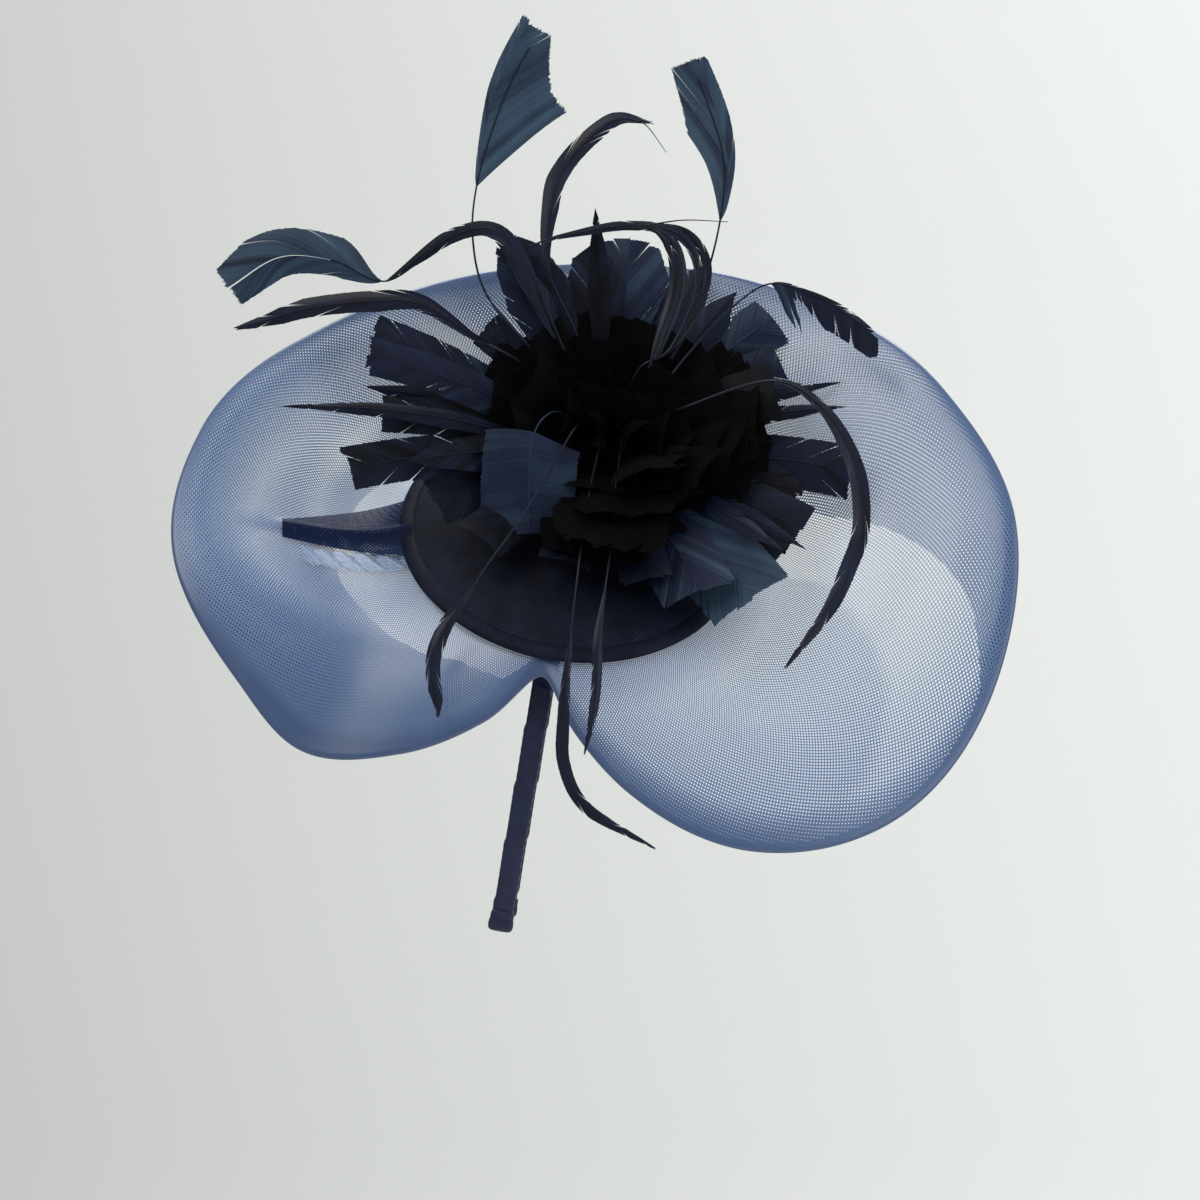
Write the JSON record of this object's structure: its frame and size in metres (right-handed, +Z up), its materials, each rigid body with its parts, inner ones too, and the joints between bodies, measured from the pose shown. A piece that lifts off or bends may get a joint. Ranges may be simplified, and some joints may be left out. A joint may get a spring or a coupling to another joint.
{
  "type": "fascinator headpiece",
  "caption": "Wide see-through crinoline brim under a small round base, with a spray of trimmed feathers and curled plumes, sewn to a slim ribbon-wrapped headband.",
  "frame": {"origin": "inner face of the headband at the crown, where it rests on the head", "axes": "+X the wearer's front, -Y the wearer's right side where the hat sits, +Z up"},
  "size_m": [0.2493, 0.1641, 0.2669],
  "materials": {
    "nylon_strip": "satin black",
    "satin_ribbon": "navy satin",
    "thread": "navy thread",
    "sinamay": "navy stiffened open straw weave",
    "felt": "black felt",
    "millinery_wire": "covered wire",
    "crinoline": "blue see-through nylon braid",
    "goose_feather": "navy dyed goose feather",
    "coque_feather": "blue-black iridescent coque feather",
    "hackle": "black hackle"
  },
  "bodies": {
    "root": {"band_core_strip": "nylon_strip", "band_stitch_1": "thread", "band_stitch_2": "thread", "band_stitch_3": "thread", "base_lining": "felt", "coque_plume_arch": "coque_feather", "coque_plume_bottom": "coque_feather", "coque_plume_bottom_short": "coque_feather", "coque_plume_left": "coque_feather", "coque_plume_lower_left": "coque_feather", "coque_plume_right": "coque_feather", "coque_plume_top": "coque_feather", "crinoline_brim": "crinoline", "crinoline_pleat_tab": "crinoline", "edge_binding": "sinamay", "edge_wire": "millinery_wire", "feather_mount": "felt", "felt_pad": "felt", "felt_patch": "felt", "gathering_thread": "thread", "hackle_heart": "hackle", "petal_back": "goose_feather", "petal_back_left": "goose_feather", "petal_back_right": "goose_feather", "petal_front_square": "goose_feather", "petal_left_front": "goose_feather", "petal_left_lower": "goose_feather", "petal_left_middle": "goose_feather", "petal_left_pointed": "goose_feather", "petal_left_upper": "goose_feather", "petal_lower_front": "goose_feather", "petal_lower_left": "goose_feather", "petal_lower_middle": "goose_feather", "petal_lower_right": "goose_feather", "petal_right_black": "goose_feather", "petal_right_pointed": "goose_feather", "petal_right_ragged": "goose_feather", "petal_right_second": "goose_feather", "petal_right_upper": "goose_feather", "petal_top_broad": "goose_feather", "petal_top_dark_leaf": "goose_feather", "petal_top_left": "goose_feather", "petal_top_spike": "goose_feather", "ribbon_tip_left": "satin_ribbon", "ribbon_tip_right": "satin_ribbon", "ribbon_wrap": "satin_ribbon", "sinamay_base": "sinamay", "stripped_feather_left": "coque_feather", "stripped_feather_right": "coque_feather", "stripped_feather_top_left": "coque_feather", "stripped_feather_top_right": "coque_feather"}
  },
  "joints": []
}
